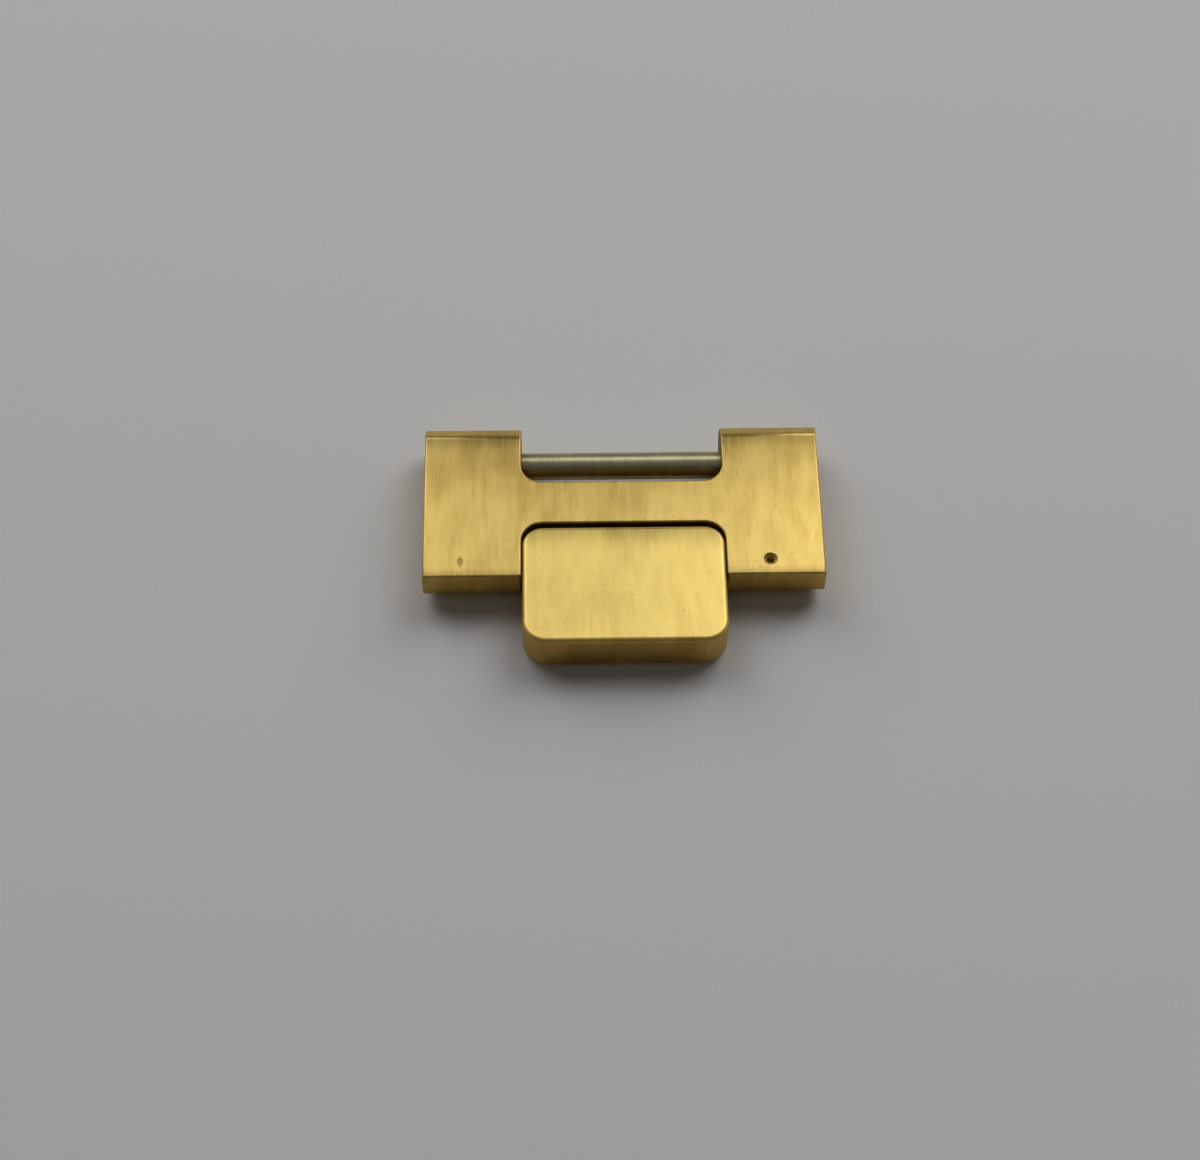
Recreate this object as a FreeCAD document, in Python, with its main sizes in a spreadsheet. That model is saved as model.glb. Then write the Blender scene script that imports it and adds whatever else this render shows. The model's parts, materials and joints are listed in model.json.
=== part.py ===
import FreeCAD, Part
import os
import math
import Sketcher

# Bracelet link: an H-shaped outer link, a centre link hinged in its front recess,
# and a screw across its rear slot for the next centre link.
# +X across the bracelet, +Y towards the rear slot, +Z up from the face it rests on.

doc = FreeCAD.newDocument("bracelet_link")

# Driving dimensions in millimetres
dims = doc.addObject("Spreadsheet::Sheet", "Dims")


def size(alias, number, note):
    row = size.row
    dims.set("A%d" % row, note)
    dims.set("B%d" % row, str(number))
    dims.setAlias("B%d" % row, alias)
    size.row = row + 1


size.row = 1
size("linkWidth", 20.0, "outer link across the bracelet")
size("linkThick", 2.5, "top face to underside")
size("channelWidth", 10.2, "rear slot and front recess between the lugs")
size("slotDepth", 3.75, "rear end to the bridge")
size("bridgeLength", 2.5, "bridge along the bracelet")
size("recessDepth", 3.15, "lug front to the bridge")
size("linkGap", 0.22, "gap between parts that meet end to end")
size("sideGap", 0.04, "running gap on each side of the centre link")
size("cornerRadius", 1.05, "inner corners of slot and recess")
size("noseTop", 0.46, "rear top rounding as a share of the thickness")
size("noseLow", 0.5, "rear lower rounding as a share of the thickness")
size("frontLow", 0.56, "front lower relief as a share of the thickness")
size("sideLow", 0.32, "outer lower rounding as a share of the thickness")
size("edgeBreak", 0.12, "softened outer top edges")
size("channelBreak", 0.1, "softened edges of slot and recess")
size("hingeInset", 0.9, "hinge axis behind the lug front")
size("screwInset", 1.98, "screw axis ahead of the rear end")
size("hingeDia", 1.0, "hinge pin")
size("shankDia", 1.4, "screw shank")
size("boreGap", 0.03, "radial running gap round pin and shank")
size("seatGap", 0.004, "radial gap of a pressed piece")
size("blindWall", 1.1, "metal left beyond a blind bore")
size("plugLength", 0.9, "plug that closes the hinge bore")
size("headStep", 0.1, "screw head beyond the shank, all round")
size("headLength", 0.8, "screw head along the screw")
size("headSunk", 0.1, "screw head below the side face")
size("driveWidth", 0.26, "driver slot across the head")
size("driveDepth", 0.35, "driver slot into the head")
size("threadStep", 0.1, "threaded end inside the shank, all round")
size("shoulderReach", 0.6, "shank inside the threaded lug")
size("tipBreak", 0.15, "bevel on the screw tip")
size("ringWidth", 0.08, "turned ring on the shank")
size("ringDepth", 0.04, "turned ring on the shank")
size("ringInset", 0.8, "turned ring to the lug at the head")
size("lockDia", 0.36, "lock pin")
size("lockBite", 0.14, "lock pin into the hinge pin groove")
size("lockLeft", 8.12, "left lock pin from the middle")
size("lockRight", 7.27, "right lock pin from the middle")
size("lockLeftSunk", 0.02, "left lock pin below the top face")
size("lockRightSunk", 0.45, "right lock pin below the top face")
size("dimpleBreak", 0.17, "countersink round the right lock hole")
size("blockFrontCorner", 1.2, "front corners of the centre link in plan")
size("blockTopBreak", 0.22, "rounding round the top of the centre link")
size("blockLow", 0.5, "rounding round the underside of the centre link")
doc.recompute()

# Stations along Y; the origin is the middle of the whole length
reach = "Dims.slotDepth"
whole = "(Dims.recessDepth + Dims.bridgeLength + Dims.slotDepth + %s)" % reach
rearEnd = "(%s / 2)" % whole
bridgeRear = "(%s - Dims.slotDepth)" % rearEnd
bridgeFront = "(%s - Dims.bridgeLength)" % bridgeRear
lugFront = "(%s - Dims.recessDepth)" % bridgeFront
blockFront = "(%s - %s)" % (lugFront, reach)
blockRear = "(%s - Dims.linkGap)" % bridgeFront
hingeY = "(%s + Dims.hingeInset)" % lugFront
screwY = "(%s - Dims.screwInset)" % rearEnd
socketY = "(%s - Dims.linkGap - Dims.screwInset)" % lugFront
axisZ = "(Dims.linkThick / 2)"
halfLink = "(Dims.linkWidth / 2)"
halfChannel = "(Dims.channelWidth / 2)"
halfBlock = "(Dims.channelWidth / 2 - Dims.sideGap)"
blockRearCorner = "Dims.cornerRadius"
beyond = 1.0


def number(expression):
    """Value of an expression that uses the sheet."""
    return float(dims.evalExpression(str(expression)))


def addBody(name):
    body = doc.addObject("PartDesign::Body", name)
    body.Label = name
    return body


def place(body, across="0", along="0", up="0"):
    """Sets a body's place from the sheet."""
    body.setExpression("Placement.Base.x", across)
    body.setExpression("Placement.Base.y", along)
    body.setExpression("Placement.Base.z", up)


def addSketch(body, name, plane, offset="0"):
    """Sketch on one of the body's own planes, moved along the plane's normal."""
    sketch = body.newObject("Sketcher::SketchObject", name)
    for datum in body.Origin.OriginFeatures:
        if datum.Role == plane:
            sketch.AttachmentSupport = [(datum, "")]
    sketch.MapMode = "FlatFace"
    if offset != "0":
        sketch.setExpression("AttachmentOffset.Base.z", offset)
    return sketch


def fix(sketch, kind, edge, end, expression):
    """Signed distance of a point from the sketch origin, driven by the sheet."""
    rule = Sketcher.Constraint(kind, -1, 1, edge, end, number(expression))
    index = sketch.addConstraint(rule)
    sketch.setExpression("Constraints[%d]" % index, str(expression))


def polygon(sketch, corners):
    """Closed loop of straight lines through corners given as two expressions each."""
    spots = [FreeCAD.Vector(number(a), number(b), 0) for a, b in corners]
    first = sketch.GeometryCount
    count = len(spots)
    for i in range(count):
        sketch.addGeometry(Part.LineSegment(spots[i], spots[(i + 1) % count]))
    for i in range(count):
        after = first + (i + 1) % count
        sketch.addConstraint(Sketcher.Constraint("Coincident", first + i, 2, after, 1))
    for i in range(count):
        fix(sketch, "DistanceX", first + i, 1, corners[i][0])
        fix(sketch, "DistanceY", first + i, 1, corners[i][1])


def loop(sketch, corners):
    """Closed loop of lines along the sketch axes; a corner with a radius is rounded.

    A corner is (across, along) or (across, along, radius), all expressions.
    """
    count = len(corners)
    spots = [FreeCAD.Vector(number(c[0]), number(c[1]), 0) for c in corners]
    radii = [number(c[2]) if len(c) > 2 else 0.0 for c in corners]
    lines = []
    for i in range(count):
        j = (i + 1) % count
        step = (spots[j] - spots[i]).normalize()
        start = spots[i] + step * radii[i]
        end = spots[j] - step * radii[j]
        lines.append(sketch.addGeometry(Part.LineSegment(start, end)))
    for i in range(count):
        j = (i + 1) % count
        level = abs(spots[j].y - spots[i].y) < abs(spots[j].x - spots[i].x)
        sketch.addConstraint(Sketcher.Constraint("Horizontal" if level else "Vertical", lines[i]))
        fix(sketch, "DistanceY" if level else "DistanceX", lines[i], 1, corners[i][1 if level else 0])
    for i in range(count):
        before = lines[i - 1]
        after = lines[i]
        if radii[i] == 0:
            sketch.addConstraint(Sketcher.Constraint("Coincident", before, 2, after, 1))
            continue
        inward = (spots[i - 1] - spots[i]).normalize() * radii[i]
        onward = (spots[(i + 1) % count] - spots[i]).normalize() * radii[i]
        middle = spots[i] + (inward + onward) * (1 - math.sqrt(0.5))
        curve = Part.Arc(spots[i] + inward, middle, spots[i] + onward)
        arc = sketch.addGeometry(curve)
        # An arc runs anticlockwise, so its start may be either end of the corner
        turn = inward.cross(onward).z
        near, far = (1, 2) if turn < 0 else (2, 1)
        sketch.addConstraint(Sketcher.Constraint("Tangent", before, 2, arc, near))
        sketch.addConstraint(Sketcher.Constraint("Tangent", arc, far, after, 1))
        index = sketch.addConstraint(Sketcher.Constraint("Radius", arc, radii[i]))
        sketch.setExpression("Constraints[%d]" % index, str(corners[i][2]))


def disc(sketch, across, along, diameter):
    """Circle with its centre and diameter driven by the sheet."""
    centre = FreeCAD.Vector(number(across), number(along), 0)
    ring = sketch.addGeometry(Part.Circle(centre, FreeCAD.Vector(0, 0, 1), number(diameter) / 2))
    fix(sketch, "DistanceX", ring, 3, across)
    fix(sketch, "DistanceY", ring, 3, along)
    index = sketch.addConstraint(Sketcher.Constraint("Diameter", ring, number(diameter)))
    sketch.setExpression("Constraints[%d]" % index, str(diameter))


def pad(body, name, sketch, length, both=False):
    feature = body.newObject("PartDesign::Pad", name)
    feature.Profile = sketch
    feature.setExpression("Length", length)
    feature.Midplane = both
    doc.recompute()
    return feature


def pocket(body, name, sketch, length=None, both=False, reverse=False):
    """Cuts a sketch through the body, or to a depth; a cut that takes nothing is an error."""
    before = body.Shape.Volume
    feature = body.newObject("PartDesign::Pocket", name)
    feature.Profile = sketch
    if length is None:
        feature.Type = 1
    else:
        feature.setExpression("Length", length)
    feature.Midplane = both
    feature.Reversed = reverse
    doc.recompute()
    if body.Shape.Volume > before - 1e-6:
        raise RuntimeError(name + " cuts nothing")
    return feature


def edges(shape, test):
    """Names of the edges whose middle point passes the test."""
    names = []
    for i, edge in enumerate(shape.Edges, start=1):
        middle = edge.valueAt((edge.FirstParameter + edge.LastParameter) / 2)
        if test(middle, edge):
            names.append("Edge%d" % i)
    return names


def dress(body, kind, name, base, names, amount):
    """Fillet or chamfer on named edges of the last feature."""
    if not names:
        raise RuntimeError(name + " finds no edge")
    feature = body.newObject("PartDesign::" + kind, name)
    feature.Base = (base, names)
    feature.setExpression("Radius" if kind == "Fillet" else "Size", amount)
    doc.recompute()
    return feature


# Diameters that go with the hinge pin and with the screw shank
pressedBore = "(Dims.hingeDia + 2 * Dims.seatGap)"
hingeRun = "(Dims.hingeDia + 2 * Dims.boreGap)"
shankRun = "(Dims.shankDia + 2 * Dims.boreGap)"
headDia = "(Dims.shankDia + 2 * Dims.headStep)"
threadDia = "(Dims.shankDia - 2 * Dims.threadStep)"

# Outer link: a bar with its side profile, narrowed to its end profile, then slotted
outer = addBody("outer_link")
side = addSketch(outer, "SideProfile", "YZ_Plane")
loop(side, [
    (lugFront, "0", "Dims.frontLow * Dims.linkThick"),
    (rearEnd, "0", "Dims.noseLow * Dims.linkThick"),
    (rearEnd, "Dims.linkThick", "Dims.noseTop * Dims.linkThick"),
    (lugFront, "Dims.linkThick", "Dims.edgeBreak"),
])
pad(outer, "Bar", side, "Dims.linkWidth", both=True)

# End profile: everything outside it is taken off along the whole bar
end = addSketch(outer, "EndProfile", "XZ_Plane")
wide = "(%s + %s)" % (halfLink, beyond)
tall = "(Dims.linkThick + %s)" % beyond
loop(end, [("-" + wide, str(-beyond)), (wide, str(-beyond)), (wide, tall), ("-" + wide, tall)])
loop(end, [
    ("-" + halfLink, "0", "Dims.sideLow * Dims.linkThick"),
    (halfLink, "0", "Dims.sideLow * Dims.linkThick"),
    (halfLink, "Dims.linkThick", "Dims.edgeBreak"),
    ("-" + halfLink, "Dims.linkThick", "Dims.edgeBreak"),
])
pocket(outer, "EndShape", end, length="3 * %s" % whole, both=True)

# Rear slot for the next centre link
slot = addSketch(outer, "SlotPlan", "XY_Plane")
pastRear = "(%s + %s)" % (rearEnd, beyond)
loop(slot, [
    ("-" + halfChannel, bridgeRear, "Dims.cornerRadius"),
    (halfChannel, bridgeRear, "Dims.cornerRadius"),
    (halfChannel, pastRear),
    ("-" + halfChannel, pastRear),
])
pocket(outer, "Slot", slot, length="3 * Dims.linkThick", both=True)

# Front recess for the link's own centre link
recess = addSketch(outer, "RecessPlan", "XY_Plane")
pastFront = "(%s - %s)" % (lugFront, beyond)
loop(recess, [
    ("-" + halfChannel, bridgeFront, "Dims.cornerRadius"),
    ("-" + halfChannel, pastFront),
    (halfChannel, pastFront),
    (halfChannel, bridgeFront, "Dims.cornerRadius"),
])
recessCut = pocket(outer, "Recess", recess, length="3 * Dims.linkThick", both=True)


def isWall(face):
    """An upright face of the slot or the recess: it stands no further out than their sides."""
    u0, u1, v0, v1 = face.ParameterRange
    upright = abs(face.normalAt((u0 + u1) / 2, (v0 + v1) / 2).z) < 1e-4
    return upright and abs(face.CenterOfMass.x) < number(halfChannel) + 1e-3


def rimEdges(shape):
    """Edges where one wall of the slot or the recess meets the outside of the link."""
    walls = [face for face in shape.Faces if isWall(face)]
    names = []
    for i, edge in enumerate(shape.Edges, start=1):
        touching = [wall for wall in walls if any(edge.isSame(side) for side in wall.Edges)]
        if len(touching) == 1:
            names.append("Edge%d" % i)
    return names


# Softened edges all round the slot and the recess: top, ends and underside
dress(outer, "Fillet", "ChannelEdges", recessCut, rimEdges(recessCut.Shape), "Dims.channelBreak")

# Hinge bore: blind, open at the right side face, where a plug closes it
boreEnd = "(%s - Dims.blindWall)" % halfLink
hingeBore = addSketch(outer, "HingeBorePlan", "YZ_Plane", offset="-" + boreEnd)
disc(hingeBore, hingeY, axisZ, pressedBore)
pocket(outer, "HingeBore", hingeBore, length="(%s + %s)" % (boreEnd, wide), reverse=True)

# Screw bore: running bore from the right, threaded bore in the left lug, seat for the head
shoulderX = "(%s + Dims.shoulderReach)" % halfChannel
screwBore = addSketch(outer, "ScrewBorePlan", "YZ_Plane", offset="-" + shoulderX)
disc(screwBore, screwY, axisZ, shankRun)
pocket(outer, "ScrewBore", screwBore, length="(%s + %s)" % (shoulderX, wide), reverse=True)

threadBore = addSketch(outer, "ThreadBorePlan", "YZ_Plane", offset="-" + boreEnd)
disc(threadBore, screwY, axisZ, "(%s + 2 * Dims.boreGap)" % threadDia)
pocket(outer, "ThreadBore", threadBore, length=boreEnd, reverse=True)

headX = "(%s - Dims.headSunk)" % halfLink
seatX = "(%s - Dims.headLength)" % headX
headSeat = addSketch(outer, "HeadSeatPlan", "YZ_Plane", offset=seatX)
disc(headSeat, screwY, axisZ, "(%s + 2 * Dims.boreGap)" % headDia)
pocket(outer, "HeadSeat", headSeat, length="(%s - %s)" % (wide, seatX), reverse=True)

# Lock pin holes, from the top face down to the hinge bore; the right one is countersunk
lockDia = "(Dims.lockDia + 2 * Dims.seatGap)"
lockPlan = addSketch(outer, "LockPlan", "XY_Plane", offset="Dims.linkThick")
disc(lockPlan, "-Dims.lockLeft", hingeY, lockDia)
disc(lockPlan, "Dims.lockRight", hingeY, lockDia)
lockCut = pocket(outer, "LockHoles", lockPlan, length=axisZ)


def onDimple(middle, edge):
    """The rim of the right lock hole."""
    high = abs(middle.z - number("Dims.linkThick")) < 1e-4
    return high and abs(middle.x - number("Dims.lockRight")) < 0.5 and edge.Curve.TypeId == "Part::GeomCircle"


dress(outer, "Chamfer", "Dimple", lockCut, edges(lockCut.Shape, onDimple), "Dims.dimpleBreak")

# Centre link: a block rounded in plan, with cross bores for the hinge pin and the next screw
block = addBody("centre_link")
plan = addSketch(block, "BlockPlan", "XY_Plane")
loop(plan, [
    ("-" + halfBlock, blockFront, "Dims.blockFrontCorner"),
    (halfBlock, blockFront, "Dims.blockFrontCorner"),
    (halfBlock, blockRear, blockRearCorner),
    ("-" + halfBlock, blockRear, blockRearCorner),
])
blank = pad(block, "Block", plan, "Dims.linkThick")


def onUnderside(middle, edge):
    return abs(middle.z) < 1e-4


def onTop(middle, edge):
    return abs(middle.z - number("Dims.linkThick")) < 1e-4


low = dress(block, "Fillet", "UndersideEdge", blank, edges(blank.Shape, onUnderside), "Dims.blockLow")
dress(block, "Fillet", "TopEdge", low, edges(low.Shape, onTop), "Dims.blockTopBreak")

# Lower rear quarter turned about the hinge axis, so that the link swings clear of the recess
sweep = addSketch(block, "SwingPlan", "XY_Plane", offset=axisZ)
sweep.setExpression("AttachmentOffset.Base.y", hingeY)
aside = "(%s + %s)" % (halfBlock, beyond)
swing = "(%s - %s)" % (blockRear, hingeY)
clear = "(%s + %s)" % (swing, beyond)
loop(sweep, [
    ("-" + aside, "Dims.boreGap"),
    ("-" + halfBlock, "Dims.boreGap"),
    ("-" + halfBlock, swing, blockRearCorner),
    (halfBlock, swing, blockRearCorner),
    (halfBlock, "Dims.boreGap"),
    (aside, "Dims.boreGap"),
    (aside, clear),
    ("-" + aside, clear),
])
before = block.Shape.Volume
swept = block.newObject("PartDesign::Groove", "SwingRelief")
swept.Profile = sweep
swept.ReferenceAxis = (sweep, ["H_Axis"])
swept.Angle = 90
swept.Reversed = True
doc.recompute()
if block.Shape.Volume > before - 1e-6:
    raise RuntimeError("SwingRelief cuts nothing")

bores = addSketch(block, "CrossBorePlan", "YZ_Plane")
disc(bores, hingeY, axisZ, hingeRun)
disc(bores, socketY, axisZ, shankRun)
pocket(block, "CrossBores", bores, length="2 * Dims.linkWidth", both=True)

# Hinge pin: turned, with a groove for each lock pin and broken ends
hinge = addBody("hinge_pin")
pinStart = "(-%s)" % boreEnd
pinEnd = "(%s - Dims.plugLength)" % halfLink
pinRadius = "(Dims.hingeDia / 2)"
waist = "(%s - Dims.lockBite)" % pinRadius
half = "(Dims.lockDia / 2 + Dims.seatGap)"
chip = "Dims.edgeBreak"
profile = addSketch(hinge, "PinProfile", "XY_Plane")
polygon(profile, [
    (pinStart, "0"),
    (pinStart, "%s - %s" % (pinRadius, chip)),
    ("%s + %s" % (pinStart, chip), pinRadius),
    ("-Dims.lockLeft - %s" % half, pinRadius),
    ("-Dims.lockLeft - %s" % half, waist),
    ("-Dims.lockLeft + %s" % half, waist),
    ("-Dims.lockLeft + %s" % half, pinRadius),
    ("Dims.lockRight - %s" % half, pinRadius),
    ("Dims.lockRight - %s" % half, waist),
    ("Dims.lockRight + %s" % half, waist),
    ("Dims.lockRight + %s" % half, pinRadius),
    ("%s - %s" % (pinEnd, chip), pinRadius),
    (pinEnd, "%s - %s" % (pinRadius, chip)),
    (pinEnd, "0"),
])


def revolve(body, name, sketch):
    """Turns a half profile about the sketch's own X axis."""
    feature = body.newObject("PartDesign::Revolution", name)
    feature.Profile = sketch
    feature.ReferenceAxis = (sketch, ["H_Axis"])
    feature.Angle = 360
    doc.recompute()
    return feature


revolve(hinge, "Turned", profile)
place(hinge, along=hingeY, up=axisZ)

# Plug that closes the hinge bore flush with the side face
plug = addBody("bore_plug")
plugPlan = addSketch(plug, "PlugPlan", "YZ_Plane")
disc(plugPlan, "0", "0", "Dims.hingeDia")
pad(plug, "Plug", plugPlan, "Dims.plugLength")
place(plug, across=pinEnd, along=hingeY, up=axisZ)

# Lock pins that hold the hinge pin; the right one stands deeper, under its countersink
footZ = "(%s + %s)" % (axisZ, waist)


def lockPin(name, across, sunk):
    body = addBody(name)
    sketch = addSketch(body, name + "_plan", "XY_Plane")
    disc(sketch, "0", "0", "Dims.lockDia")
    pad(body, name + "_pad", sketch, "Dims.linkThick - %s - %s" % (sunk, footZ))
    place(body, across=across, along=hingeY, up=footZ)
    return body


lockPin("lock_pin_left", "-Dims.lockLeft", "Dims.lockLeftSunk")
lockPin("lock_pin_right", "Dims.lockRight", "Dims.lockRightSunk")

# Link screw: head in the right lug, shank across the slot, threaded end in the left lug
screw = addBody("link_screw")
turned = addSketch(screw, "ScrewProfile", "XY_Plane")
shank = "(Dims.shankDia / 2)"
thread = "(%s / 2)" % threadDia
head = "(%s / 2)" % headDia
ringX = "(%s - Dims.ringInset)" % halfChannel
tipX = "(Dims.sideGap - %s)" % boreEnd
polygon(turned, [
    (tipX, "0"),
    (tipX, "%s - Dims.tipBreak" % thread),
    ("%s + Dims.tipBreak" % tipX, thread),
    ("Dims.sideGap - %s" % shoulderX, thread),
    ("Dims.sideGap - %s" % shoulderX, shank),
    ("%s - Dims.ringWidth" % ringX, shank),
    ("%s - Dims.ringWidth / 2" % ringX, "%s - Dims.ringDepth" % shank),
    (ringX, shank),
    (seatX, shank),
    (seatX, head),
    ("%s - Dims.channelBreak" % headX, head),
    (headX, "%s - Dims.channelBreak" % head),
    (headX, "0"),
])
revolve(screw, "Turning", turned)
drive = addSketch(screw, "DrivePlan", "XY_Plane")
grip = "(Dims.driveWidth / 2)"
loop(drive, [
    ("%s - Dims.driveDepth" % headX, "-" + grip),
    ("%s + %s" % (headX, beyond), "-" + grip),
    ("%s + %s" % (headX, beyond), grip),
    ("%s - Dims.driveDepth" % headX, grip),
])
pocket(screw, "DriveSlot", drive, length="2 * %s" % headDia, both=True)
place(screw, along=screwY, up=axisZ)

# Every piece is written as its own file
doc.recompute()
for item in doc.Objects:
    if "Invalid" in item.State or "Error" in item.State:
        raise RuntimeError(item.Name + " did not build")
os.makedirs("parts", exist_ok=True)
for body in doc.Objects:
    if body.TypeId == "PartDesign::Body":
        if body.Shape.isNull() or not body.Shape.isValid() or len(body.Shape.Solids) != 1:
            raise RuntimeError(body.Label + " is not one sound solid")
        body.Shape.exportStep("parts/" + body.Label + ".step")
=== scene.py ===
import bpy
import json
import math
from mathutils import Vector, Matrix

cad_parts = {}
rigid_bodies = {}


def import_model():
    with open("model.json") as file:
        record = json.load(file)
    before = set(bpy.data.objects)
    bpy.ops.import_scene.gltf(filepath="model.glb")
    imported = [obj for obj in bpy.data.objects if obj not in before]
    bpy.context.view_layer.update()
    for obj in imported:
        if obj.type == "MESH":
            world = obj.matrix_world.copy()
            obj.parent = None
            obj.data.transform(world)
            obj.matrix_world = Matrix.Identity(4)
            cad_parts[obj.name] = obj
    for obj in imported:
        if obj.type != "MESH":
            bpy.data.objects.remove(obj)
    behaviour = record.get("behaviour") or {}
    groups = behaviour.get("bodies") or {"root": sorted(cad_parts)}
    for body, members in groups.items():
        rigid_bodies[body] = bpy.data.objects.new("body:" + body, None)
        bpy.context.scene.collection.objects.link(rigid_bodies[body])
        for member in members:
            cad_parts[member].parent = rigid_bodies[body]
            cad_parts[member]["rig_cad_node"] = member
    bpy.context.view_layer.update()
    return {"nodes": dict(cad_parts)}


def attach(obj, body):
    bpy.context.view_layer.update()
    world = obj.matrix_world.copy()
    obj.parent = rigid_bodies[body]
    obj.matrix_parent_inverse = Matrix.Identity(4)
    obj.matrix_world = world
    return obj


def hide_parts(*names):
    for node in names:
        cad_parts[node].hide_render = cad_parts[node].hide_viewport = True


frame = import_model()
nodes = frame["nodes"]
mm = 0.001
print("frame loaded:", ", ".join(sorted(nodes)))


# small helpers for selecting and finishing

def editMode():
    bpy.ops.object.mode_set(mode="EDIT")


def objectMode():
    bpy.ops.object.mode_set(mode="OBJECT")


def deselectAll():
    if bpy.context.object and bpy.context.object.mode != "OBJECT":
        objectMode()
    bpy.ops.object.select_all(action="DESELECT")


def pick(piece):
    deselectAll()
    piece.select_set(True)
    bpy.context.view_layer.objects.active = piece


def editAll(piece):
    # edit mode with the whole mesh selected
    pick(piece)
    editMode()
    bpy.ops.mesh.select_all(action="SELECT")


def selectWhere(piece, kind, test):
    # leaves the piece in edit mode with the faces or points that pass the test
    pick(piece)
    editMode()
    bpy.ops.mesh.select_mode(type=kind)
    bpy.ops.mesh.select_all(action="DESELECT")
    objectMode()
    for item in piece.data.polygons if kind == "FACE" else piece.data.vertices:
        item.select = test(item)
    editMode()


def applyModifier(piece, kind, **settings):
    pick(piece)
    made = piece.modifiers.new(kind.title(), kind)
    for name, item in settings.items():
        setattr(made, name, item)
    bpy.ops.object.modifier_apply(modifier=made.name)


def settle(piece):
    # place, turn and scale go into the mesh
    pick(piece)
    bpy.ops.object.transform_apply(location=True, rotation=True, scale=True)


def smoothBy(piece, degrees):
    pick(piece)
    bpy.ops.object.shade_smooth_by_angle(angle=math.radians(degrees))


def finishWith(piece, material):
    piece.data.materials.clear()
    piece.data.materials.append(material)


# one wrapper for a socket, so that shader maths reads as ordinary expressions
class Value:
    def __init__(self, shader, socket):
        self.shader = shader
        self.socket = socket

    def maths(self, operation, *items):
        return self.shader.node("ShaderNodeMath", {"operation": operation}, dict(enumerate(items)))

    def __add__(self, other):
        return self.maths("ADD", self, other)

    def __sub__(self, other):
        return self.maths("SUBTRACT", self, other)

    def __rsub__(self, other):
        return self.maths("SUBTRACT", other, self)

    def __mul__(self, other):
        return self.maths("MULTIPLY", self, other)

    def __truediv__(self, other):
        return self.maths("DIVIDE", self, other)

    def __abs__(self):
        return self.maths("ABSOLUTE", self)

    __radd__ = __add__
    __rmul__ = __mul__

    def most(self, other):
        return self.maths("MAXIMUM", self, other)

    def ramp(self, low, high, start=0.0, end=1.0):
        # eases from start to end while the value goes from low to high
        return self.shader.node("ShaderNodeMapRange", {"interpolation_type": "SMOOTHSTEP"}, {
            "Value": self, "From Min": low, "From Max": high, "To Min": start, "To Max": end})

    def fade(self, low, high):
        return self.ramp(low, high, 1.0, 0.0)


class Shader:
    # owner is a new material or world, whose nodes are added to here
    def __init__(self, owner):
        self.owner = owner
        owner.use_nodes = True
        self.tree = owner.node_tree
        self.surface = self.tree.nodes.get("Principled BSDF") or self.tree.nodes["Background"]

    def link(self, item, socket):
        if isinstance(item, Value):
            self.tree.links.new(item.socket, socket)
        else:
            socket.default_value = item

    def node(self, kind, settings=None, sockets=None, out=0):
        made = self.tree.nodes.new(kind)
        for name, item in (settings or {}).items():
            setattr(made, name, item)
        for name, item in (sockets or {}).items():
            self.link(item, made.inputs[name])
        return Value(self, made.outputs[out])

    def place(self):
        return self.node("ShaderNodeTexCoord", out="Object")

    def facing(self):
        return self.node("ShaderNodeTexCoord", out="Normal")

    def axis(self, vector, letter):
        return self.node("ShaderNodeSeparateXYZ", None, {0: vector}, out=letter)

    def noise(self, vector, perMm, detail, rough=0.5, shift=0.0):
        # perMm is how many blotches to a millimetre along X, Y and Z
        placed = self.node("ShaderNodeMapping", None, {
            "Vector": vector, "Scale": [item / mm for item in perMm], "Location": (shift, shift, shift)})
        return self.node("ShaderNodeTexNoise", None, {
            "Vector": placed, "Scale": 1.0, "Detail": detail, "Roughness": rough})

    def mix(self, amount, first, second):
        return self.node("ShaderNodeMix", {"data_type": "RGBA"}, {0: amount, 6: first, 7: second}, out=2)

    def bump(self, height, depth):
        return self.node("ShaderNodeBump", None, {"Height": height, "Strength": 1.0, "Distance": depth})

    def feed(self, sockets):
        for name, item in sockets.items():
            self.link(item, self.surface.inputs[name])
        return self.owner


def between(amount, first, second):
    return first + (second - first) * amount


# gold of the links, the plug and the left lock pin: satin, brushed along the bracelet
satinGold = {
    "bright": (0.86, 0.645, 0.195, 1),
    "deep": (0.70, 0.495, 0.135, 1),
    # dull gold of specks and marks, also used as painted shade at the rear end
    "dullAndShade": (0.40, 0.26, 0.075, 1),
    "side": (0.64, 0.40, 0.095, 1),      # upright faces all round, darker than the top as painted shade
    "sideShadeShare": 0.8,                     # their deep tone, as a share of it
    "wall": (0.20, 0.12, 0.035, 1),      # milled faces inside slot and recess, a much darker gold as painted shade
    "toneRange": (0.37, 0.62),           # pattern values that count as deep and as bright
    "rough": 0.29,
    "grainRough": 0.10,                  # spread over the grain
    "cloudRough": 0.10,                  # spread over the clouds
    "speckRough": 0.05,                  # added on the specks
    "markRough": 0.08,                   # added on the marks
    "sideRough": 0.10,                   # added on the upright faces
    "edgeRough": 0.26,                   # added on the rounded edges
    "wallRough": 0.5,                    # in place of rough
    "grooveDepth": 0.0022,               # mm
    "bends": (),        # the top falls away past a line across it, from there on with that radius,
                        # in mm; a negative radius bends towards the front
    "wallSide": 0,      # the milled faces lie nearer to the middle than this, in mm
    "marks": (),        # middle X and Y, half width and half length in mm, strength
    "paintedRearShade": None,    # Y where the painted shade toward the rear starts and is full, in mm, and its strength
}

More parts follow.
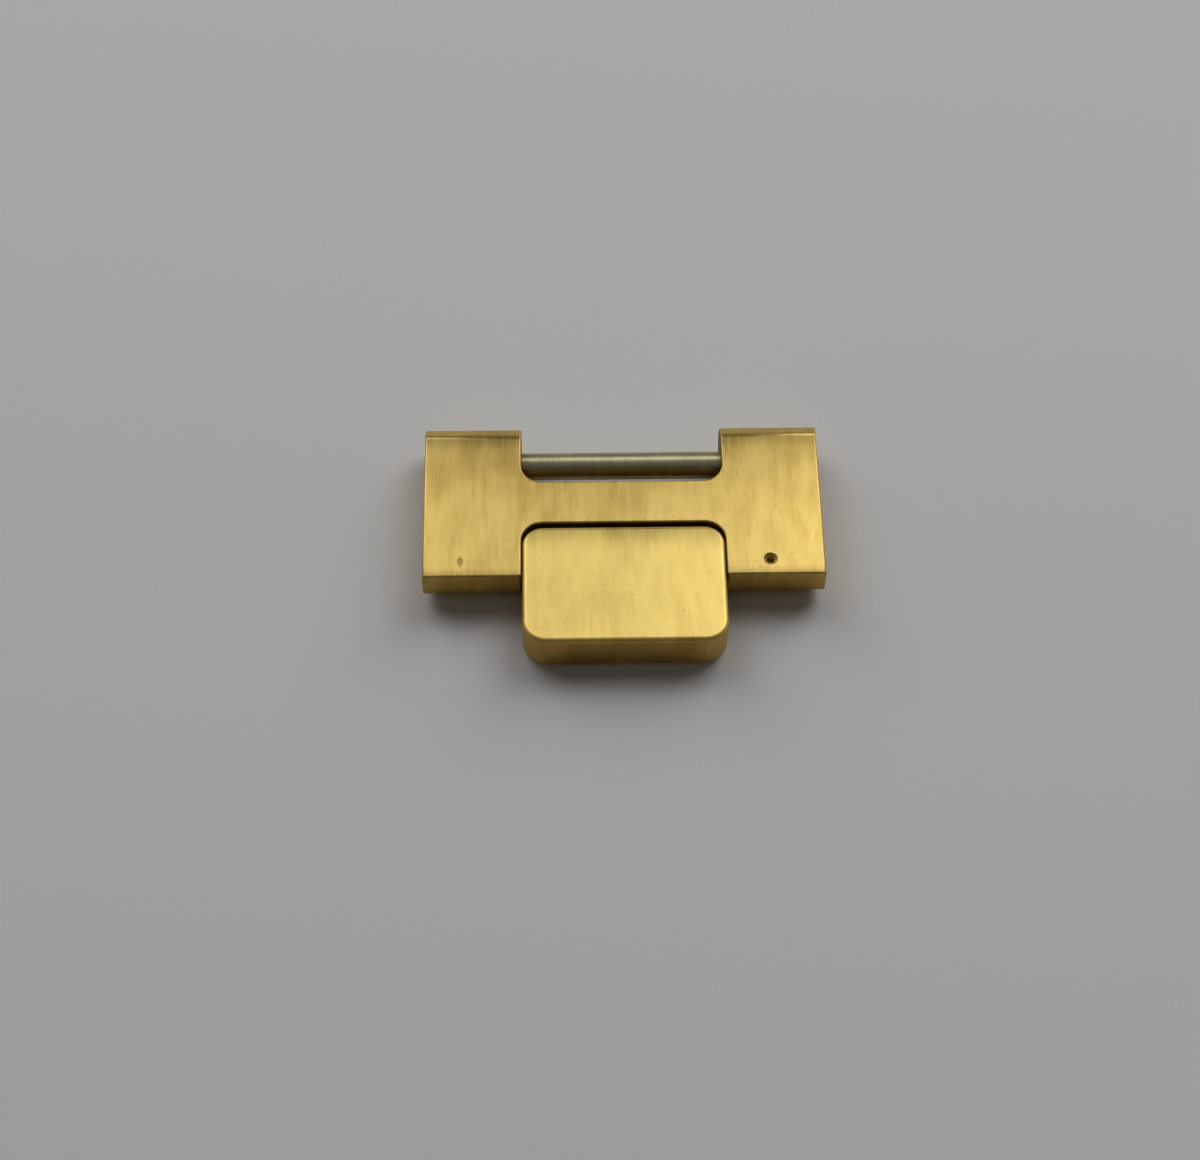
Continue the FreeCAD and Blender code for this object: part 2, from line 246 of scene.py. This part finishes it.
# the gold's pattern: strokes, clouds and specks are counted to a millimetre
brushing = {
    # across, along, fine detail, share in the tone
    "grain": (11, 0.45, 3, 0.12),
    "band": (1.25, 0.36, 2, 0.38),
    "streak": (3.4, 0.55, 2, 0.22),
    "strokeRough": 0.55,
    # along X, Y and Z, fine detail, shift, share in the tone
    "cloud": ((0.55, 0.42, 0.55), 2, 7, 0.28),
    "speck": ((4.2, 2.4, 4.2), 1, 3, 0.18),
    "speckRange": (0.62, 0.80),
    "markRange": (0.2, 1.4),             # squared distance, in half sizes of the mark
    "grooveGrain": 0.6,                  # what grain and streak add to the grooves
    "grooveStreak": 0.4,
    "wallBlend": 0.06,                   # mm
}

# between these shares of a face's normal along X or Z, a part of the look comes in or goes
slope = {
    "sideways": (0.6, 0.85),             # along X, the others along Z
    "upright": (0.25, 0.7),
    "sheer": (0.05, 0.3),
    "tilted": (0.93, 0.995),
}


def brushStrokes(s, at, facing, shift):
    # the strokes run along Y on top, round the ends and on the side faces
    sideways = abs(s.axis(facing, "X")).ramp(*slope["sideways"])
    layers = []
    for across, along, detail, share in (brushing["grain"], brushing["band"], brushing["streak"]):
        over = s.noise(at, (across, along, along), detail, brushing["strokeRough"], shift)
        beside = s.noise(at, (along, along, across), detail, brushing["strokeRough"], shift)
        layers.append((between(sideways, over, beside), share))
    return layers


def goldFinish(name, shift, look):
    s = Shader(bpy.data.materials.new(name))
    look = {**satinGold, **look}
    at = s.place()
    facing = s.facing()
    x, y = s.axis(at, "X") / mm, s.axis(at, "Y") / mm
    level = abs(s.axis(facing, "Z"))
    upright = level.fade(*slope["upright"])
    sheer = level.fade(*slope["sheer"])
    rounded = level.fade(*slope["tilted"]) * (1 - sheer)

    # tone and roughness of the brushing
    (grain, grainShare), (band, bandShare), (streak, streakShare) = brushStrokes(s, at, facing, shift)
    perMm, detail, further, cloudShare = brushing["cloud"]
    cloud = s.noise(at, perMm, detail, shift=shift + further)
    perMm, detail, further, speckShare = brushing["speck"]
    speck = s.noise(at, perMm, detail, shift=shift + further).ramp(*brushing["speckRange"])
    tone = grain * grainShare + band * bandShare + streak * streakShare + cloud * cloudShare
    tone = tone.ramp(*look["toneRange"])
    colour = s.mix(speck * speckShare, s.mix(tone, look["deep"], look["bright"]), look["dullAndShade"])
    rough = look["rough"] + (grain - 0.5) * look["grainRough"] + (cloud - 0.5) * look["cloudRough"]
    rough = rough + speck * look["speckRough"]
    rough = rough + rounded * look["edgeRough"] + sheer * look["sideRough"]

    # painted shade on the upright faces, marks, painted shade at the rear end and on the milled walls
    # painted shade: the upright faces take the darker side colour
    deepShadedSide = [item * look["sideShadeShare"] for item in look["side"]]
    colour = s.mix(upright, colour, s.mix(tone, deepShadedSide, look["side"]))
    for markX, markY, wide, tall, amount in look["marks"]:
        spotX, spotY = (x - markX) / wide, (y - markY) / tall
        spot = (spotX * spotX + spotY * spotY).fade(*brushing["markRange"]) * amount
        colour = s.mix(spot, colour, look["dullAndShade"])
        rough = rough + spot * look["markRough"]
    # painted shade: past a line near the rear the top turns toward the dull colour
    if look["paintedRearShade"]:
        start, full, amount = look["paintedRearShade"]
        colour = s.mix(y.ramp(start, full, 0.0, amount), colour, look["dullAndShade"])
    # painted shade: the milled faces inside the slot and recess take the dark wall colour, with a rougher
    # milled finish
    if look["wallSide"]:
        inside = abs(x).fade(look["wallSide"], look["wallSide"] + brushing["wallBlend"])
        milledAndShaded = upright * inside
        colour = s.mix(milledAndShaded, colour, look["wall"])
        rough = rough + milledAndShaded * (look["wallRough"] - look["rough"])

    # grooves and gentle bends, as a height in mm
    height = (grain * brushing["grooveGrain"] + streak * brushing["grooveStreak"]) * look["grooveDepth"]
    for line, radius in look["bends"]:
        past = (y - line if radius > 0 else line - y).most(0)
        height = height - past * past * (0.5 / abs(radius))
    return s.feed({"Base Color": colour, "Metallic": 1.0, "Roughness": rough, "Normal": s.bump(height, mm)})


# steel of pins and screw: turned, so the fine rings run round X
turnedSteel = {
    "bright": (0.70, 0.64, 0.385, 1),
    "deep": (0.54, 0.49, 0.285, 1),
    "toneRange": (0.35, 0.65),
    "ring": ((16, 0.3, 0.3), 3, 0.6),    # to a millimetre along X, Y and Z, detail, its roughness
    "wipe": ((0.5, 1.2, 1.2), 2, 0.5),
    "wipeShift": 4,
    "ringShare": 0.5,                    # of the tone; the wipes have the rest
    "rough": 0.34,
    "ringRough": 0.12,                   # spread over the rings
    "wipeRough": 0.08,                   # spread over the wipes
    "ringDepth": 0.004,                  # mm
}


def steelFinish(name, look):
    s = Shader(bpy.data.materials.new(name))
    at = s.place()
    ring = s.noise(at, *look["ring"])
    wipe = s.noise(at, *look["wipe"], look["wipeShift"])
    tone = (ring * look["ringShare"] + wipe * (1 - look["ringShare"])).ramp(*look["toneRange"])
    return s.feed({
        "Base Color": s.mix(tone, look["deep"], look["bright"]),
        "Metallic": 1.0,
        "Roughness": look["rough"] + (ring - 0.5) * look["ringRough"] + (wipe - 0.5) * look["wipeRough"],
        "Normal": s.bump(ring, look["ringDepth"] * mm)})


# the finish of each piece, where it differs from the gold and the steel above
leftMark = (-8.12, -1.93)       # mm, the middle of the mark over the left lock pin
outerLook = {
    "bright": (0.82, 0.605, 0.183, 1),
    "deep": (0.66, 0.46, 0.125, 1),
    "bends": [(0.5, 80), (4.8, 19), (-2.2, -5)],
    "wallSide": 5.15,
    "marks": [(*leftMark, 0.14, 0.32, 0.8)],
    # painted shade over the rear end
    "paintedRearShade": (5.8, 6.5, 0.5),
}
centreLook = {
    "bright": (0.97, 0.735, 0.222, 1),
    "deep": (0.85, 0.625, 0.18, 1),
    "bends": [(-1.4, 16)],
}
lockPinLook = {
    "bright": (0.74, 0.53, 0.16, 1),
    "deep": (0.58, 0.40, 0.11, 1),
    "marks": [(*leftMark, 0.13, 0.34, 0.85)],
}
# the numbers shift the pattern, so that no two pieces share it
outerGold = goldFinish("outerLinkGold", 0.0, outerLook)
centreGold = goldFinish("centreLinkGold", 11.0, centreLook)
plugGold = goldFinish("plugGold", 23.0, {})
lockGold = goldFinish("lockPinGold", 31.0, lockPinLook)
pinSteel = steelFinish("turnedSteel", turnedSteel)
print("finishes made")


# the links: merged copies of the frame's solids, shaded smooth over their roundings
softLink = {
    "mergeWithin": 0.001,   # mm
    "flatWithin": 0.3,      # degrees
    "sharpFrom": 35,        # degrees
    "largeFaces": 80,       # how much more the large faces count in the shading
}


def softCopy(nodeName, pieceName, body, material):
    pick(nodes[nodeName])
    bpy.ops.object.duplicate()
    piece = bpy.context.object
    piece.name = pieceName
    del piece["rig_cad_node"]
    editAll(piece)
    bpy.ops.mesh.customdata_custom_splitnormals_clear()
    bpy.ops.mesh.remove_doubles(threshold=softLink["mergeWithin"] * mm)
    bpy.ops.mesh.dissolve_limited(angle_limit=math.radians(softLink["flatWithin"]))
    objectMode()
    smoothBy(piece, softLink["sharpFrom"])
    applyModifier(piece, "WEIGHTED_NORMAL", keep_sharp=True, weight=softLink["largeFaces"])
    finishWith(piece, material)
    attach(piece, body)
    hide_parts(nodeName)


softCopy("outer_link", "outerLinkBody", "outer", outerGold)
softCopy("centre_link", "centreLinkBody", "centre", centreGold)
for name, material in (("bore_plug", plugGold), ("lock_pin_left", lockGold),
                       ("hinge_pin", pinSteel), ("lock_pin_right", pinSteel)):
    nodes[name].material_slots[0].material = material
print("links softened")


# the link screw: shank, head with a driver slot, and a cut thread on its far end
screwSet = {
    # mm: places along X, then radii, then the smaller cuts
    "axisY": 4.595, "axisZ": 1.25,
    "tip": -8.86, "threadEnd": -5.66, "seat": 9.1, "face": 9.9,
    "shank": 0.70, "head": 0.80, "root": 0.50, "crest": 0.60,
    "headBreak": 0.10, "tipBreak": 0.15,
    "ringAt": 4.26, "ringWide": 0.08, "ringDeep": 0.035,
    "driveWide": 0.26, "driveDeep": 0.35,
    "pitch": 0.24,
    # counts, and the angle in degrees from which an edge stays sharp
    "turns": 12, "sides": 72, "turnSides": 36,
    "sharpFrom": 32,
}
nearby = 0.01       # mm, closer than this counts as the same place
endOn = 0.9         # a face's normal has more than this along X on an end


def onAxis(x):
    return Vector((x, screwSet["axisY"], screwSet["axisZ"])) * mm


def growEnd(piece, side, steps):
    # pulls the end cap out in steps: (move along X, new radius as a share of the last)
    def isCap(face):
        offAxis = (face.center - onAxis(face.center.x / mm)).length
        return face.normal.x * side > endOn and offAxis < nearby * mm

    for move, share in steps:
        selectWhere(piece, "FACE", isCap)
        bpy.ops.mesh.extrude_region_move(TRANSFORM_OT_translate={"value": (move * mm, 0, 0)})
        bpy.ops.transform.resize(value=(1, share, share), center_override=onAxis(0))
        objectMode()


def makeShank(size):
    # a plain bar, with the head pulled out of one end and the thread's root out of the other
    deselectAll()
    bpy.ops.mesh.primitive_cylinder_add(
        vertices=size["sides"], radius=size["shank"] * mm, depth=(size["seat"] - size["threadEnd"]) * mm,
        location=onAxis((size["seat"] + size["threadEnd"]) / 2), rotation=(0, math.pi / 2, 0))
    shank = bpy.context.object
    settle(shank)
    growEnd(shank, 1, [
        (0, size["head"] / size["shank"]),
        (size["face"] - size["seat"] - size["headBreak"], 1),
        (size["headBreak"], (size["head"] - size["headBreak"]) / size["head"])])
    growEnd(shank, -1, [
        (0, size["root"] / size["shank"]),
        (size["tip"] + size["tipBreak"] - size["threadEnd"], 1),
        (-size["tipBreak"], (size["root"] - size["tipBreak"]) / size["root"])])
    return shank


def turnRing(piece, size):
    # a shallow groove round the shank, between two cuts and deepest at a third
    for step in (-0.5, 0, 0.5):
        editAll(piece)
        bpy.ops.mesh.bisect(plane_co=onAxis(size["ringAt"] + step * size["ringWide"]), plane_no=(1, 0, 0))
        objectMode()
    selectWhere(piece, "VERT", lambda point: abs(point.co.x / mm - size["ringAt"]) < nearby)
    share = 1 - size["ringDeep"] / size["shank"]
    bpy.ops.transform.resize(value=(1, share, share), center_override=onAxis(0))
    objectMode()


def cutDriverSlot(piece, size):
    # cut by a bar across the head that is taken away again
    deselectAll()
    bpy.ops.mesh.primitive_cube_add(size=1, location=onAxis(size["face"]))
    bar = bpy.context.object
    bar.scale = Vector((2 * size["driveDeep"], size["driveWide"], 4 * size["head"])) * mm
    settle(bar)
    applyModifier(piece, "BOOLEAN", operation="DIFFERENCE", object=bar, solver="EXACT")
    bpy.data.objects.remove(bar)


def windThread(size):
    # a four-sided ridge wound round the root, its inner half sunk into it and its ends closed
    deselectAll()
    bpy.ops.mesh.primitive_circle_add(vertices=4, radius=(size["crest"] - size["root"]) * mm,
                                      location=(0, size["root"] * mm, 0), fill_type="NOTHING")
    ridge = bpy.context.object
    settle(ridge)
    applyModifier(ridge, "SCREW", axis="X", angle=2 * math.pi, screw_offset=size["pitch"] * mm,
                  iterations=size["turns"], steps=size["turnSides"], render_steps=size["turnSides"])
    pick(ridge)
    editMode()
    bpy.ops.mesh.select_mode(type="EDGE")
    bpy.ops.mesh.select_all(action="DESELECT")
    bpy.ops.mesh.select_non_manifold()
    bpy.ops.mesh.fill()
    bpy.ops.mesh.select_all(action="SELECT")
    bpy.ops.mesh.normals_make_consistent(inside=False)
    start = (size["tip"] + size["threadEnd"] - size["pitch"] * size["turns"]) / 2
    bpy.ops.transform.translate(value=onAxis(start))
    objectMode()
    return ridge


screw = makeShank(screwSet)
screw.name = "linkScrewBody"
turnRing(screw, screwSet)
cutDriverSlot(screw, screwSet)
thread = windThread(screwSet)
pick(screw)
thread.select_set(True)
bpy.ops.object.join()
smoothBy(screw, screwSet["sharpFrom"])
finishWith(screw, pinSteel)
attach(screw, "screw")
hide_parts("link_screw")
print("screw made")


# the pale table
table = {
    "side": 0.9,        # m
    "under": 0.01,      # mm below the link, so that no two faces share a plane
    "colour": (0.91, 0.91, 0.90, 1),
    "rough": 0.8,
}
deselectAll()
bpy.ops.mesh.primitive_plane_add(size=table["side"], location=(0, 0, -table["under"] * mm))
tableTop = bpy.context.object
tableTop.name = "tableTop"
settle(tableTop)
tableShader = Shader(bpy.data.materials.new("paleTable"))
finishWith(tableTop, tableShader.feed({"Base Color": table["colour"], "Roughness": table["rough"]}))

# soft light mostly from above and behind: a panel overhead, one to each side of the rear,
# and weak ones that open up the shadows
softboxes = {
    # angle from the zenith, turn to the right of the rear, angular width and height, brightness
    "overhead": (25, 8, 36, 30, 0.39),
    "rearRight": (51, 40, 36, 52, 1.66),
    "rearLeft": (51, -39, 36, 52, 1.36),
    "zenith": (12, 180, 46, 22, 0.14),
    "front": (38, 180, 50, 26, 0.09),
    "horizon": (76, 0, 60, 22, 0.14),
    "sideRight": (66, 82, 40, 36, 0.12),
    "sideLeft": (66, -82, 40, 36, 0.08),
}
softboxAway = 0.5               # m
softboxTint = (1.0, 0.99, 0.98)
for name, (tilt, around, wide, tall, bright) in softboxes.items():
    tilt, around = math.radians(tilt), math.radians(around)
    toward = Vector((math.sin(tilt) * math.sin(around), math.sin(tilt) * math.cos(around), math.cos(tilt)))
    lamp = bpy.data.lights.new(name, "AREA")
    lamp.shape = "RECTANGLE"
    lamp.size = 2 * softboxAway * math.tan(math.radians(wide / 2))
    lamp.size_y = 2 * softboxAway * math.tan(math.radians(tall / 2))
    lamp.energy = bright * math.pi * lamp.size * lamp.size_y
    lamp.color = softboxTint
    holder = bpy.data.objects.new(name, lamp)
    bpy.context.scene.collection.objects.link(holder)
    holder.location = toward * softboxAway
    holder.rotation_euler = toward.to_track_quat("Z", "Y").to_euler()
# a dim room lights the scene; straight into the camera it shows as a pale backdrop
room = {"tint": (0.97, 0.98, 1.0, 1), "glow": 0.012, "backdrop": 0.42}
roomShader = Shader(bpy.data.worlds.new("room"))
seen = roomShader.node("ShaderNodeLightPath", out="Is Camera Ray")
bpy.context.scene.world = roomShader.feed(
    {"Color": room["tint"], "Strength": between(seen, room["glow"], room["backdrop"])})

# camera at the photograph's angle
view = {
    "aim": (-1.215, -3.082, 2.5),   # mm, the point in the middle of the picture
    "distance": 118.2,              # mm
    "elevation": 58.0,              # degrees, as are the next two
    "turn": 1.744,
    "roll": 0.859,
    "lens": 72.0,                   # mm, as is the sensor's width
    "sensor": 36,
    "nearest": 1.0,                 # mm
}
rise, turn = math.radians(view["elevation"]), math.radians(view["turn"])
away = Vector((-math.sin(turn) * math.cos(rise), -math.cos(turn) * math.cos(rise), math.sin(rise)))
camera = bpy.data.objects.new("camera", bpy.data.cameras.new("camera"))
bpy.context.scene.collection.objects.link(camera)
camera.data.sensor_width = view["sensor"]
camera.data.lens = view["lens"]
camera.data.clip_start = view["nearest"] * mm
camera.location = (Vector(view["aim"]) + away * view["distance"]) * mm
straight = away.to_track_quat("Z", "Y").to_matrix().to_4x4()
camera.rotation_euler = (straight @ Matrix.Rotation(math.radians(view["roll"]), 4, "Z")).to_euler()
bpy.context.scene.camera = camera
bpy.context.scene.view_settings.view_transform = "Standard"
print("table, lamps and camera set")
